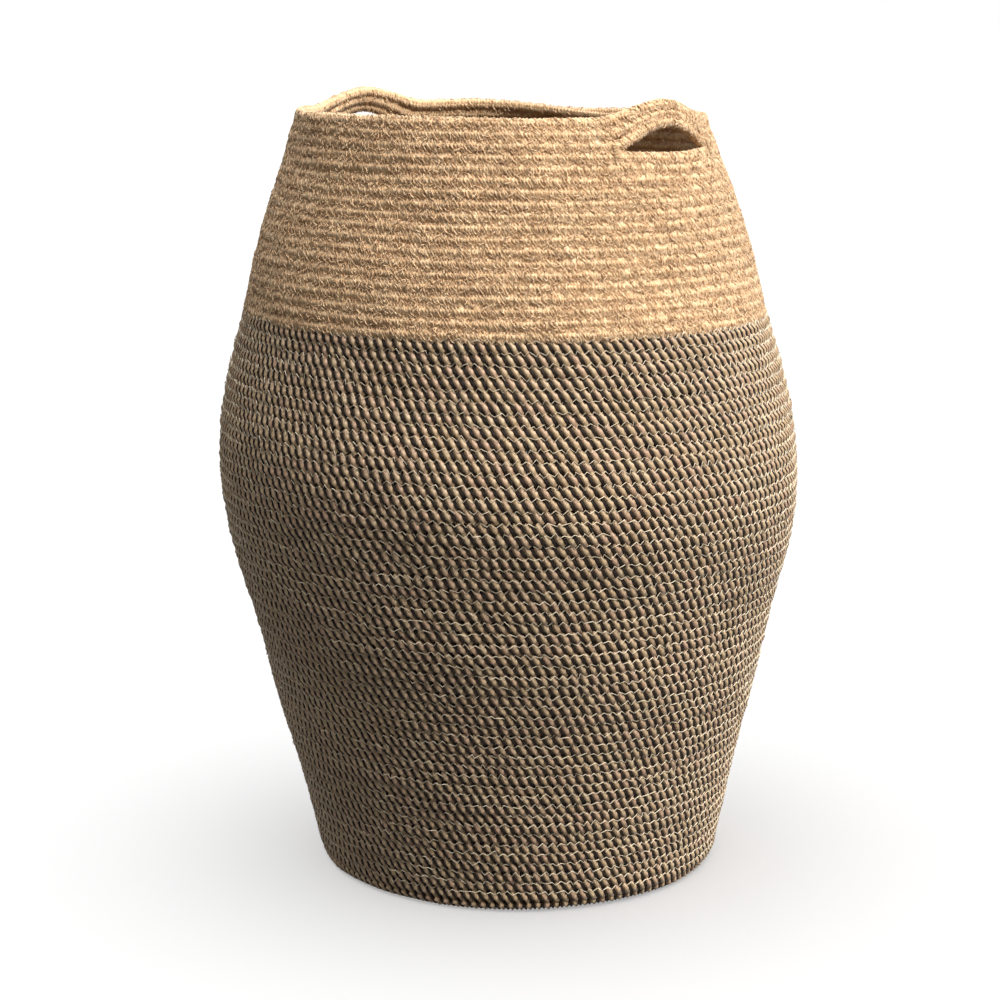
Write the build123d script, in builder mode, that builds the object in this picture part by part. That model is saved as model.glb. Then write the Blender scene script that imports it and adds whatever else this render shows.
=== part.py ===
from build123d import *
import os

# Tall barrel laundry basket, coiled and sewn from rope.
#
# A two-colour twisted rope makes the floor and the lower wall, and a natural jute braid makes
# the upper wall.  The top three turns of braid are sprung up over two hand slots.
# Millimetres, +Z up, origin at the centre of the underside, handles on +X and -X.

# Driving dimensions
rim_height = 650.0            # top of the rim between the handles
course_pitch = 9.25           # one turn of rope, measured up the wall
wall_thickness = 9.3          # horizontal thickness of the single rope wall
floor_thickness = 9.0         # the floor is one rope thick
floor_radius = 150.0          # flat floor disc, up to the turns that form the heel

# Outside of the wall: (radius, height)
contact_radius = 166.0        # where the underside starts to curve up
heel_top = (177.6, 18.5)      # two turns up
lower_cone = (194.0, 91.0)
middle_cone = (229.6, 234.0)
belly_start = (243.8, 299.0)
belly = (249.6, 348.0)        # widest turn
shoulder = (239.0, 420.0)
jute_cone = (205.8, 546.0)
rim = (171.0, rim_height)
arch_crown = (165.0, 668.0)   # the wall line carried on, for the raised handles

# Heights where one length of wall passes to the next
lower_wall_top = 150.0
middle_wall_top = 290.0
belly_wall_top = 400.0
colour_change = 482.0         # two-colour rope below, jute braid above

# Hand slots: the three top turns part from the turn below
handle_courses = 3            # turns of braid above each slot
rim_lean = (rim[1] - jute_cone[1]) / Vector(rim[0] - jute_cone[0], rim[1] - jute_cone[1]).length
slot_height = rim_height - handle_courses * course_pitch * rim_lean
slot_half_width = 54.0
slot_rise = 18.6              # how far the lowest raised turn lifts at the middle
slot_dip = 2.4                # how far the turn below sags at the middle
handle_half_width = 72.0      # where the raised turns are back in the wall
arch_rise = 14.5              # how far the rim lifts at the middle
slot_corner_angle = 22.0      # opening angle of each edge at the pointed slot ends

# Sewn tacks at the slot ends
tack_width = 5.0
tack_height = 11.0
tack_proud = 0.8              # thickness of the thread that stands on the rope
tack_gap = 1.0                # from the slot end to the tack

# Rope end, tapered and sewn down inside the rim
tail_length = 46.0
tail_thickness = 4.0
tail_height = 9.0
tail_end_height = 3.0
tail_drop = 6.0               # below the rim

REACH = 400.0                 # longer than any radius, for cutting shapes

WALL_POINTS = [heel_top, lower_cone, middle_cone, belly_start, belly, shoulder, jute_cone, rim,
               arch_crown]
OUTSIDE = 0.0
INSIDE = -wall_thickness


def skin_outline(first, second):
    """Return the closed section between two copies of the wall line, each moved out by an amount."""
    with BuildLine() as outline:
        near = Spline(*[(radius + first, height) for radius, height in WALL_POINTS])
        far = Spline(*[(radius + second, height) for radius, height in WALL_POINTS])
        Line(near @ 0, far @ 0)
        Line(near @ 1, far @ 1)
    return outline.edges()


def finish_piece(piece, name):
    """Label a finished piece and write its STEP file."""
    piece.label = name
    export_step(piece, f"parts/{name}.step")


def keep_heights(bottom, top):
    """Keep the part of the current sketch between two heights."""
    with Locations((REACH / 2, (bottom + top) / 2)):
        Rectangle(REACH, top - bottom, mode=Mode.INTERSECT)


def build_base_spiral():
    """Floor disc: the flat start of the coil."""
    with BuildPart() as base_spiral:
        with BuildSketch(Plane.XY):
            Circle(floor_radius)
        extrude(amount=floor_thickness)
    finish_piece(base_spiral.part, "base_spiral")


def build_heel_turns():
    """The turns that round the corner from the floor to the wall."""
    inner_radius, inner_height = heel_top[0] - wall_thickness, heel_top[1]
    wall_start = (lower_cone[0] - heel_top[0], lower_cone[1] - heel_top[1])
    with BuildPart() as heel_turns:
        with BuildSketch(Plane.XZ):
            with BuildLine():
                underside = Line((floor_radius, 0), (contact_radius, 0))
                corner = Spline((contact_radius, 0), heel_top, tangents=[(1, 0), wall_start])
                top = Line(corner @ 1, (inner_radius, inner_height))
                cove = Spline(top @ 1, (contact_radius - wall_thickness, floor_thickness),
                              tangents=[(-wall_start[0], -wall_start[1]), (-1, 0)])
                floor_line = Line(cove @ 1, (floor_radius, floor_thickness))
                Line(floor_line @ 1, underside @ 0)
            make_face()
        revolve(axis=Axis.Z)
    finish_piece(heel_turns.part, "heel_turns")


def build_wall_band(name, bottom, top):
    """A closed ring of wall between two heights."""
    with BuildPart() as band:
        with BuildSketch(Plane.XZ):
            make_face(wall_outline)
            keep_heights(bottom, top)
        revolve(axis=Axis.Z)
    finish_piece(band.part, name)


def build_jute_wall():
    """The jute braid up to the hand slots, its top turn sagging a little under each slot."""
    with BuildPart() as jute_wall:
        with BuildSketch(Plane.XZ):
            make_face(wall_outline)
            keep_heights(colour_change, slot_height)
        revolve(axis=Axis.Z)
        with BuildSketch(Plane.YZ):
            with BuildLine():
                sag = ThreePointArc((-slot_half_width, slot_height), (0, slot_height - slot_dip),
                                    (slot_half_width, slot_height))
                Line(sag @ 1, sag @ 0)
            make_face()
        extrude(amount=REACH, both=True, mode=Mode.SUBTRACT)
    finish_piece(jute_wall.part, "jute_wall")


def build_rim(name, side):
    """The top three turns between the handles, in front (side -1) or behind (side +1)."""
    with BuildPart() as rim_part:
        with BuildSketch(Plane.XZ):
            make_face(wall_outline)
            keep_heights(slot_height, rim_height)
        revolve(axis=Axis.Z)
        with BuildSketch(Plane.XY.offset(slot_height)):
            with Locations((0, side * (handle_half_width + REACH / 2))):
                Rectangle(2 * REACH, REACH)
        extrude(amount=rim_height - slot_height, mode=Mode.INTERSECT)
    finish_piece(rim_part.part, name)


def handle_outline():
    """Return a handle's outline as seen from the side: the arched strip of three turns."""
    corner = Vector(1, 0).rotate(Axis.Z, slot_corner_angle)
    with BuildLine() as outline:
        left_foot = Line((-handle_half_width, slot_height), (-slot_half_width, slot_height))
        slot_top = Spline(left_foot @ 1, (0, slot_height + slot_rise), (slot_half_width, slot_height),
                          tangents=[(corner.X, corner.Y), (corner.X, -corner.Y)])
        right_foot = Line(slot_top @ 1, (handle_half_width, slot_height))
        right_end = Line(right_foot @ 1, (handle_half_width, rim_height))
        crown = Spline(right_end @ 1, (0, rim_height + arch_rise), (-handle_half_width, rim_height),
                       tangents=[(-1, 0), (-1, 0)])
        Line(crown @ 1, left_foot @ 0)
    return outline.edges()


def build_handle(name, side):
    """An arched handle on the +X (side 1) or -X (side -1) side of the rim."""
    with BuildPart() as handle:
        with BuildSketch(Plane.XZ):
            make_face(wall_outline)
            keep_heights(slot_height, arch_crown[1])
        revolve(axis=Axis.Z)
        with BuildSketch(Plane.YZ):
            make_face(handle_edges)
        extrude(amount=side * REACH, mode=Mode.INTERSECT)
    finish_piece(handle.part, name)


def build_handle_tacks():
    """Four small pads of back-and-forth sewing on the outside of the wall, at the slot ends."""
    tack_bottom = slot_height - tack_height / 2
    tack_top = slot_height + tack_height / 2
    with BuildPart() as handle_tacks:
        with BuildSketch(Plane.XZ):
            make_face(skin_outline(OUTSIDE, tack_proud))
            keep_heights(tack_bottom, tack_top)
        revolve(axis=Axis.Z)
        with BuildSketch(Plane.YZ):
            tack_centre = slot_half_width + tack_gap + tack_width / 2
            with Locations((-tack_centre, slot_height), (tack_centre, slot_height)):
                Rectangle(tack_width, tack_height)
        extrude(amount=REACH, both=True, mode=Mode.INTERSECT)
    finish_piece(handle_tacks.part, "handle_tacks")


def build_rope_tail():
    """The braid's end, tapered and sewn down on the inside of the back rim."""
    tail_top = rim_height - tail_drop
    half = tail_length / 2
    with BuildPart() as rope_tail:
        with BuildSketch(Plane.XZ):
            make_face(skin_outline(INSIDE, INSIDE - tail_thickness))
            keep_heights(tail_top - tail_height, tail_top)
        revolve(axis=Axis.Z)
        with BuildSketch(Plane.XZ):
            with BuildLine():
                Polyline((-half, tail_top - tail_height), (-half, tail_top), (half, tail_top),
                         (half, tail_top - tail_end_height), close=True)
            make_face()
        extrude(amount=-REACH, mode=Mode.INTERSECT)
    finish_piece(rope_tail.part, "rope_tail")


wall_outline = skin_outline(OUTSIDE, INSIDE)
handle_edges = handle_outline()

os.makedirs("parts", exist_ok=True)
build_base_spiral()
build_heel_turns()
build_wall_band("lower_wall", heel_top[1], lower_wall_top)
build_wall_band("middle_wall", lower_wall_top, middle_wall_top)
build_wall_band("belly_wall", middle_wall_top, belly_wall_top)
build_wall_band("shoulder_wall", belly_wall_top, colour_change)
build_jute_wall()
build_rim("rim_front", -1)
build_rim("rim_back", 1)
build_handle("handle_right", 1)
build_handle("handle_left", -1)
build_handle_tacks()
build_rope_tail()
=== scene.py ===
"""A tall barrel laundry basket of coiled, sewn rope, dressed for a studio view.

A two-colour twisted rope makes the floor and the lower wall, and a natural jute rope the upper
wall.  Each length of rope is laid along one spiral line, read from the outside of the CAD wall.
Metres, +Z up.
"""
import logging
import math
from dataclasses import dataclass
from enum import Enum

import bpy
import numpy as np
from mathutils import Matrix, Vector


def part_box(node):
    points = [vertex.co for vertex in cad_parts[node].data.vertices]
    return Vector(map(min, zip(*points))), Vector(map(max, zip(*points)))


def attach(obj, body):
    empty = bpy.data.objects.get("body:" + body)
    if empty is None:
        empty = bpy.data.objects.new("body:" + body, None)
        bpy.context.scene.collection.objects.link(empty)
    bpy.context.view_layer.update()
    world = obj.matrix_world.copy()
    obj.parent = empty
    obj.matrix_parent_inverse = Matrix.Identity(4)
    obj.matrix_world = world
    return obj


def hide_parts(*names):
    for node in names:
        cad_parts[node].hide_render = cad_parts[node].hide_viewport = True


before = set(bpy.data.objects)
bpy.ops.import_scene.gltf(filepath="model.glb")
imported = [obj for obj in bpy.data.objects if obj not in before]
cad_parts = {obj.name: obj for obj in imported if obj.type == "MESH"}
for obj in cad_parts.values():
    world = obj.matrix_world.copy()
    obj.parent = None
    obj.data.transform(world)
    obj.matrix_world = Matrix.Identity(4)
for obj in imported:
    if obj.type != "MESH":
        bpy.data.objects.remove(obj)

log = logging.getLogger("basket")

MM = 0.001
FULL_TURN = 2 * math.pi
STRAND_MAP = "along_strand"       # the map that the rope and thread finishes read
MERGE_REACH = 0.02 * MM           # repeated lengths closer than this become one
ROUND_WALL_NODES = ("heel_turns", "lower_wall", "middle_wall", "belly_wall", "shoulder_wall",
                    "jute_wall", "rim_front", "handle_right")


# ---------------------------------------------------------------- small tools

def srgb(red: int, green: int, blue: int) -> tuple[float, float, float, float]:
    """Turn a display colour into the linear colour that a shader takes.

    Args:
        red: Red from 0 to 255.
        green: Green from 0 to 255.
        blue: Blue from 0 to 255.

    Returns:
        Linear red, green, blue and an alpha of one.
    """
    def linear(value: float) -> float:
        """Undo the display curve for one channel."""
        return value / 12.92 if value <= 0.04045 else ((value + 0.055) / 1.055) ** 2.4
    return linear(red / 255), linear(green / 255), linear(blue / 255), 1.0


def start_clean() -> None:
    """Leave edit mode and deselect everything, so that an operator acts on the new piece alone."""
    if bpy.context.object and bpy.context.object.mode != "OBJECT":
        bpy.ops.object.mode_set(mode="OBJECT")
    bpy.ops.object.select_all(action="DESELECT")


def read_points(piece: bpy.types.Object) -> np.ndarray:
    """Return a mesh's vertices as rows of x, y and z."""
    flat = np.zeros(len(piece.data.vertices) * 3)
    piece.data.vertices.foreach_get("co", flat)
    return flat.reshape(-1, 3)


def write_points(piece: bpy.types.Object, points: np.ndarray) -> None:
    """Put a mesh's vertices at new places."""
    piece.data.vertices.foreach_set("co", points.ravel())
    piece.data.update()


def read_corners(piece: bpy.types.Object) -> np.ndarray:
    """Return the vertex number at each corner of a mesh's faces."""
    corners = np.zeros(len(piece.data.loops), int)
    piece.data.loops.foreach_get("vertex_index", corners)
    return corners


def write_map(layer: bpy.types.MeshUVLoopLayer, along: np.ndarray, around: np.ndarray) -> None:
    """Fill a map with two values for each corner of the faces."""
    layer.data.foreach_set("uv", np.stack([along, around], axis=1).ravel())


def pick_up(piece: bpy.types.Object) -> None:
    """Select one piece alone, for the next operator."""
    start_clean()
    piece.select_set(True)
    bpy.context.view_layer.objects.active = piece


def start_ring(sides: int, radius: float, place: tuple[float, float, float], turn: float,
               fill: str = "NOTHING") -> bpy.types.Object:
    """Add a ring across the rope, left selected in edit mode to be drawn out.

    Args:
        sides: Its number of sides.
        radius: Its radius.
        place: Its middle.
        turn: Its turn about the outward direction, a quarter turn being square to the rope.
        fill: How the ring is filled.

    Returns:
        The ring.
    """
    start_clean()
    bpy.ops.mesh.primitive_circle_add(vertices=sides, radius=radius, fill_type=fill,
                                      location=place, rotation=(0, turn, 0))
    piece = bpy.context.object
    bpy.ops.object.transform_apply(location=True, rotation=True, scale=True)
    bpy.ops.object.mode_set(mode="EDIT")
    bpy.ops.mesh.select_all(action="SELECT")
    return piece


def repeat_piece(piece: bpy.types.Object, step: float, count: int, merge: bool = True) -> None:
    """Repeat a piece along X.

    Args:
        piece: The active piece.
        step: The distance from one copy to the next.
        count: The number of copies.
        merge: Whether the copies' ends are merged.
    """
    again = piece.modifiers.new("repeat", "ARRAY")
    again.use_relative_offset, again.use_constant_offset = False, True
    again.constant_offset_displace = (step, 0, 0)
    again.count = count
    if merge:
        again.use_merge_vertices, again.merge_threshold = True, MERGE_REACH
    bpy.context.view_layer.objects.active = piece
    bpy.ops.object.modifier_apply(modifier="repeat")


def join_pieces(parts: list[bpy.types.Object], name: str) -> bpy.types.Object:
    """Join several objects into the first one and name it.

    Args:
        parts: The objects to join.
        name: The joined object's name.

    Returns:
        The joined object.
    """
    start_clean()
    for part in parts:
        part.select_set(True)
    bpy.context.view_layer.objects.active = parts[0]
    if len(parts) > 1:
        bpy.ops.object.join()
    parts[0].name = parts[0].data.name = name
    return parts[0]


def close_and_smooth(piece: bpy.types.Object, sides: int) -> None:
    """Cap the open ends of the strands, point the faces outwards and shade them smooth.

    Args:
        piece: A mesh of tubes.
        sides: The most sides an open end has.
    """
    pick_up(piece)
    bpy.ops.object.mode_set(mode="EDIT")
    bpy.ops.mesh.select_all(action="SELECT")
    bpy.ops.mesh.fill_holes(sides=sides)
    bpy.ops.mesh.normals_make_consistent(inside=False)
    bpy.ops.object.mode_set(mode="OBJECT")
    bpy.ops.object.shade_smooth()


class Slot(Enum):
    """Names for material slots; nothing in the script uses them."""
    TWO_TONE = "two_tone_rope"
    JUTE = "jute_braid"
    THREAD = "sewing_thread"


def add_to_frame(piece: bpy.types.Object, nodes: tuple[str, ...] = ()) -> None:
    """Ride a finished piece on the basket and say what it stands for.

    Args:
        piece: The finished piece, at the origin.
        nodes: The CAD nodes that the piece stands for.
    """
    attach(piece, "root")
    if nodes:
        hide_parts(*nodes)
    triangles = len(piece.data.loops) - 2 * len(piece.data.polygons)
    log.info("%s: %d triangles, stands for %s", piece.name, triangles,
             ", ".join(nodes) or "no node")


def finish_strands(parts: list[bpy.types.Object], name: str, sides: int,
                   finish: bpy.types.Material, nodes: tuple[str, ...] = ()) -> None:
    """Join laid strands into a piece, close its ends, dress it and add it to the frame.

    Args:
        parts: The laid strands.
        name: The piece's name.
        sides: The most sides an open end has.
        finish: The piece's material.
        nodes: The CAD nodes that the piece stands for.
    """
    piece = join_pieces(parts, name)
    close_and_smooth(piece, sides)
    piece.data.materials.append(finish)
    add_to_frame(piece, nodes)


class Wander:
    """A smooth value that drifts about zero along a length, the same on every run."""

    def __init__(self, span: float, spacing: float, size: float, seed: int) -> None:
        """Draw the drift.

        Args:
            span: The length that it covers.
            spacing: The distance between its turning points.
            size: Its usual size.
            seed: Which drift it is.
        """
        count = int(span / spacing) + 4
        knots = np.random.default_rng(seed).normal(0.0, 1.0, count)
        fine = np.linspace(0, count - 1, count * 8)
        left = np.clip(fine.astype(int), 0, count - 2)
        share = fine - left
        share = share * share * (3 - 2 * share)
        self.places = (fine - 1) * spacing
        self.values = size * (knots[left] * (1 - share) + knots[left + 1] * share)

    def at(self, places: np.ndarray) -> np.ndarray:
        """Return the drift at some places."""
        return np.interp(places, self.places, self.values)


# ---------------------------------------------------------------- the line of the coil

@dataclass
class WallLine:
    """The spiral that the rope follows, from the middle of the floor to the rim.

    A place on it is a turn number.  The turns are one pitch apart, measured up the wall, and they
    run clockwise seen from above.
    """
    pitch: float = 9.25 * MM
    half_rope: float = 4.65 * MM
    first_turn: float = 0.42
    rim_reference: float = math.radians(-50)   # where the rim is at its nominal height
    rope_end: float = math.radians(90)         # the rope ends at the back
    jute_turns: int = 19
    slot_half_width: float = 54 * MM
    arch_half_width: float = 72 * MM
    slot_rise: float = 18.6 * MM
    arch_rise: float = 14.5 * MM
    slot_dip: float = 2.4 * MM
    open_seam: float = 3.0 * MM                # turns this far apart do not press on each other
    round_up: float = 0.2                      # how much narrower a rope is where it is free
    slot_skew: float = 0.22                    # the slot is fuller towards the back
    slot_curve: float = 1.05                   # shapes the slot's edge, and
    arch_curve: float = 0.8                    # how much the arch's foot is softer than that
    raised_turns: int = 3
    right_slot_opens: float = 3.25             # turns from the rope's end to each slot's middle,
    left_slot_opens: float = 2.75              # half a turn after the turn below the slot
    sag_fades: float = 1.6                     # turns down to where the sag is a third
    tightest: float = 0.72                     # how far the raised turns may be squeezed
    squeezed_from: float = 6 * MM              # only turns that rise this far are squeezed
    top_turns: float = 1.05                    # the rim's turn has nothing on it
    top_ease: float = 0.05
    firm_turns: float = 12.0                   # the first turns of the floor hardly wander
    firmest: float = 0.15
    drift_turns: float = 20.0                  # the wall drifts out of round above these
    lean_heading: float = math.radians(40)
    lean_at_floor: float = 7.6 * MM
    lean_at_rim: float = -7.6 * MM
    end_taper: float = 150 * MM                # the last length, which goes inside the rim
    end_inset: float = 8.6 * MM
    end_drop: float = 8.5 * MM
    end_thin: float = 0.5
    thin_from: float = 0.45
    step: float = 0.4 * MM
    outward_facing: float = 0.12               # how far a face turns outwards on the outside

    def __post_init__(self) -> None:
        """Read the outside of the wall and lay the coil's line half a rope inside it."""
        rim_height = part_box("rim_front")[1].z
        self.rim_height = rim_height
        outer_r, outer_z = self._read_outside()
        along = np.concatenate([[0], np.cumsum(np.hypot(np.diff(outer_r), np.diff(outer_z)))])
        places = np.arange(0, along[-1], self.step)
        radius = self._soften(np.interp(places, along, outer_r))
        height = self._soften(np.interp(places, along, outer_z))
        run_r, run_z = np.gradient(radius), np.gradient(height)
        size = np.hypot(run_r, run_z)
        self.radii = radius - self.half_rope * run_z / size
        self.heights = height + self.half_rope * run_r / size
        run_r, run_z = np.gradient(self.radii), np.gradient(self.heights)
        size = np.hypot(run_r, run_z)
        self.run_r, self.run_z = run_r / size, run_z / size
        self.meridian = np.concatenate([[0], np.cumsum(np.hypot(np.diff(self.radii),
                                                                np.diff(self.heights)))])
        rim_place = np.interp(rim_height, height, places)
        rim_centre = np.interp(rim_place, places, self.meridian) - self.half_rope
        lag = (self.rope_end - self.rim_reference) % FULL_TURN / FULL_TURN
        self.last_turn = rim_centre / self.pitch + lag
        self.change_turn = self.last_turn - self.jute_turns
        self.turns = np.linspace(self.first_turn, self.last_turn + 0.2, 12000)
        spiral = self._centre(self.turns, self._heading(self.turns))[0]
        self.lengths = np.concatenate([[0], np.cumsum(np.linalg.norm(np.diff(spiral, axis=0),
                                                                     axis=1))])
        self.total = float(np.interp(self.last_turn, self.turns, self.lengths))
        rng = np.random.default_rng(5)
        self.waves = [(lobes, size * MM, rng.uniform(0, FULL_TURN), rng.uniform(0.05, 0.5))
                      for lobes, size in ((2, 0.9), (3, 0.5), (5, 0.3), (8, 0.22), (13, 0.2),
                                          (21, 0.16), (34, 0.12))]
        self.wobble_out = Wander(self.total, 45 * MM, 0.22 * MM, 11)
        self.wobble_up = Wander(self.total, 60 * MM, 0.22 * MM, 12)
        self.fullness = Wander(self.total, 30 * MM, 0.03, 13)

    def _read_outside(self) -> tuple[np.ndarray, np.ndarray]:
        """Read the outside of the CAD wall.

        Returns:
            Radii and heights, from the middle of the underside up to the arches' crown.
        """
        found: dict[float, float] = {}
        for name in ROUND_WALL_NODES:
            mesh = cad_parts[name].data
            for face in mesh.polygons:
                across = Vector((face.center.x, face.center.y, 0)).normalized()
                if face.normal.dot(across) < self.outward_facing:
                    continue
                for index in face.vertices:
                    x, y, z = mesh.vertices[index].co
                    level = round(z, 4)
                    found[level] = max(found.get(level, 0.0), math.hypot(x, y))
        levels = sorted(found)
        radii = np.array([0.0] + [found[z] for z in levels])
        heights = np.array([0.0] + levels)
        return radii, heights

    @staticmethod
    def _soften(values: np.ndarray) -> np.ndarray:
        """Round the small corners that the CAD facets leave in a line."""
        reach = 12
        weights = np.hanning(2 * reach + 3)[1:-1]
        padded = np.concatenate([2 * values[0] - values[reach:0:-1], values,
                                 2 * values[-1] - values[-2:-reach - 2:-1]])
        return np.convolve(padded, weights / weights.sum(), mode="valid")

    def _heading(self, turns: np.ndarray) -> np.ndarray:
        """Return the direction from the axis at some turn numbers."""
        return self.rope_end + (self.last_turn - turns) * FULL_TURN

    def _lift(self, turns: np.ndarray, heading: np.ndarray) -> np.ndarray:
        """Return how far the handles lift the turns, up the wall."""
        radius = np.interp(turns * self.pitch, self.meridian, self.radii)
        lift = np.zeros_like(turns)
        for middle, edge in ((0.0, self.right_slot_opens), (math.pi, self.left_slot_opens)):
            off = (heading - middle + math.pi) % FULL_TURN - math.pi
            across = np.abs(np.sin(off)) * radius
            facing = np.abs(off) < math.pi / 2
            order = turns - (self.last_turn - edge)        # above 0 on the raised turns
            share = np.clip((order - 0.5) / (self.raised_turns - 1), 0, 1)
            width = self.slot_half_width + share * (self.arch_half_width - self.slot_half_width)
            rise = self.slot_rise + share * (self.arch_rise - self.slot_rise)
            back = np.clip(np.sin(heading) * radius / width, -1, 1)
            inner = np.clip(1 - (across / width) ** 2, 0, 1)
            curve = self.slot_curve + self.arch_curve * share
            bump = rise * inner ** curve * (1 + self.slot_skew * back)
            below = -(order + 0.5)
            sag = -self.slot_dip * np.exp(-np.clip(below, 0, None) / self.sag_fades) * np.clip(
                1 - (across / self.slot_half_width) ** 2, 0, 1) ** 1.5
            lift += np.where(facing, np.where(order > 0, bump, sag), 0.0)
        return lift

    def _centre(self, turns: np.ndarray, heading: np.ndarray,
                rise: np.ndarray | float = 0.0) -> tuple[np.ndarray, np.ndarray, np.ndarray]:
        """Return the coil's centre line and the two directions across it.

        Args:
            turns: Turn numbers.
            heading: The direction from the axis at each of them.
            rise: A distance to move up the wall.

        Returns:
            Points, outward directions and up-the-wall directions.
        """
        place = turns * self.pitch + rise
        radius = np.interp(place, self.meridian, self.radii)
        height = np.interp(place, self.meridian, self.heights)
        beyond = np.clip(place - self.meridian[-1], 0, None)
        run_r = np.interp(place, self.meridian, self.run_r)
        run_z = np.interp(place, self.meridian, self.run_z)
        radius, height = radius + beyond * run_r, height + beyond * run_z
        size = np.hypot(run_r, run_z)
        run_r, run_z = run_r / size, run_z / size
        cos, sin = np.cos(heading), np.sin(heading)
        centre = np.stack([radius * cos, radius * sin, height], axis=1)
        outward = np.stack([run_z * cos, run_z * sin, -run_r], axis=1)
        upward = np.stack([run_r * cos, run_r * sin, run_z], axis=1)
        return centre, outward, upward

    def turns_below_slots(self) -> tuple[float, float]:
        """Return the turns just below the middles of the right and the left slot."""
        return (self.last_turn - self.right_slot_opens - 0.5,
                self.last_turn - self.left_slot_opens - 0.5)

    def turn_at_height(self, height: float) -> float:
        """Return the turn whose centre is at a height on the wall."""
        wall = self.radii > 0.9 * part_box("base_spiral")[1].x
        return float(np.interp(height, self.heights[wall], self.meridian[wall])) / self.pitch

    def length_at(self, turn: float) -> float:
        """Return the rope's length from its start to a turn."""
        return float(np.interp(turn, self.turns, self.lengths))

    def turn_of(self, lengths: np.ndarray) -> np.ndarray:
        """Return the turn numbers at some lengths of rope."""
        return np.interp(lengths, self.lengths, self.turns)

    def heading_of(self, lengths: np.ndarray) -> np.ndarray:
        """Return the direction from the axis at some lengths of rope."""
        return self._heading(self.turn_of(lengths))

    def lay(self, points: np.ndarray, ends_inside: bool = True) -> np.ndarray:
        """Lay straight-modelled points along the coil.

        Args:
            points: Rows of length along the rope, distance outwards and distance up the wall.
            ends_inside: Whether the rope's last length slips inside the rim and thins.

        Returns:
            Rows of x, y and z.
        """
        lengths = points[:, 0]
        turns = self.turn_of(lengths)
        heading = self._heading(turns)
        lift = self._lift(turns, heading)
        spread = 1 + (self._lift(turns + 0.5, heading) - self._lift(turns - 0.5, heading)
                      ) / self.pitch * (np.abs(lift) > self.squeezed_from)
        spread = np.clip(spread, self.tightest, 1.0)
        firm = np.clip(turns / self.firm_turns, self.firmest, 1)
        drift = sum(size * np.sin(lobes * heading + start + rate * turns)
                    for lobes, size, start, rate in self.waves)
        fullness = 1 + self.fullness.at(lengths)
        outwards = points[:, 1] * fullness + firm * (
            drift * np.clip(turns / self.drift_turns - 1, 0, 1) + self.wobble_out.at(lengths))
        upwards = points[:, 2] * fullness * spread
        above = np.maximum((self._lift(turns + 1, heading) - lift) / self.open_seam,
                           (turns - self.last_turn + self.top_turns) / self.top_ease)
        below = (lift - self._lift(turns - 1, heading)) / self.open_seam
        free = np.where(upwards > 0, np.clip(above, 0, 1), np.clip(below, 0, 1))
        upwards = upwards * (1 - self.round_up * free)
        rise = lift + firm * self.wobble_up.at(lengths)
        if ends_inside:
            last = np.clip(1 - (self.total - lengths) / self.end_taper, 0, 1)
            ease = last * last * (3 - 2 * last)
            thin = 1 - self.end_thin * np.clip((last - self.thin_from) / (1 - self.thin_from),
                                               0, 1)
            outwards = outwards * thin - self.end_inset * ease
            upwards = upwards * thin - self.end_drop * ease
        centre, outward, upward = self._centre(turns, heading, rise)
        laid = centre + outward * outwards[:, None] + upward * upwards[:, None]
        share = np.clip(laid[:, 2] / self.rim_height, 0, 1.03)
        lean = self.lean_at_floor + (self.lean_at_rim - self.lean_at_floor) * share
        laid[:, 0] += lean * math.cos(self.lean_heading)
        laid[:, 1] += lean * math.sin(self.lean_heading)
        laid[:, 2] = np.maximum(laid[:, 2], 0)      # the underside is pressed flat by the floor
        return laid


# ---------------------------------------------------------------- finishes

class Nodes:
    """The shader nodes of a material or of the world."""

    def __init__(self, owner: bpy.types.Material | bpy.types.World) -> None:
        """Take hold of the owner's nodes."""
        owner.use_nodes = True
        self.tree = owner.node_tree

    def add(self, kind: str, inputs: dict | None = None, **settings) -> bpy.types.Node:
        """Add a node.

        Args:
            kind: The node's type.
            inputs: Values or sockets for its inputs, by name or number.
            settings: Its own settings.

        Returns:
            The new node.
        """
        node = self.tree.nodes.new(kind)
        for key, value in settings.items():
            setattr(node, key, value)
        for key, value in (inputs or {}).items():
            if isinstance(value, bpy.types.NodeSocket):
                self.tree.links.new(value, node.inputs[key])
            else:
                node.inputs[key].default_value = value
        return node

    def rescale(self, value: bpy.types.NodeSocket, low: float = 0.0, high: float = 1.0,
                first: float = 0.0, last: float = 1.0) -> bpy.types.NodeSocket:
        """Return a value moved from the range low to high onto the range first to last."""
        return self.add("ShaderNodeMapRange",
                        {0: value, 1: low, 2: high, 3: first, 4: last}).outputs[0]


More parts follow.
